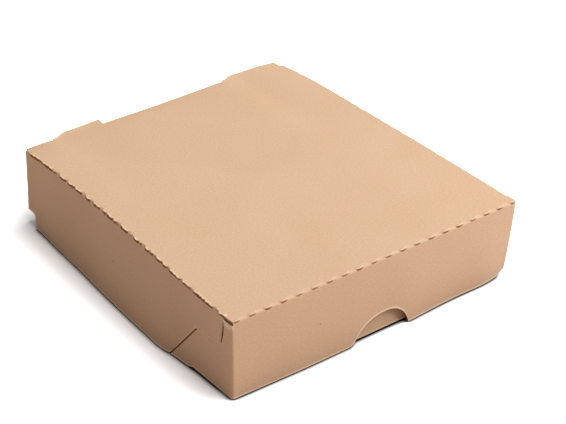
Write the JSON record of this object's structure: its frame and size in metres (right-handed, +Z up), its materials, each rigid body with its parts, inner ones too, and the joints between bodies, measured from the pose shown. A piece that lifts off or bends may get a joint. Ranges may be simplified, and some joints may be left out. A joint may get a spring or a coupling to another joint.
{
  "type": "empanada box",
  "caption": "Flat folding kraft corrugated food box: a base panel with tuck wall and dust flaps, and a hinged full-height cover with a thumb notch, folded front ears and rear tongues.",
  "frame": {"origin": "middle of the base panel's underside, half way between the cover's front and rear faces", "axes": "+Z up, -Y to the front with the thumb notch, +Y to the hinge at the rear, +X to the right seen from the front"},
  "size_m": [0.2388, 0.259, 0.0633],
  "materials": {
    "kraft_base": "matte uncoated kraft liner",
    "kraft_cover": "matte uncoated kraft liner"
  },
  "bodies": {
    "base": {"base": "kraft_base"},
    "cover": {"cover": "kraft_cover"}
  },
  "joints": [
    {"name": "cover_hinge", "type": "hinge", "parent": "base", "child": "cover", "pos_m": [0, 0.1265, 0], "axis": [-1, 0, 0], "range_deg": [0, 84]}
  ]
}
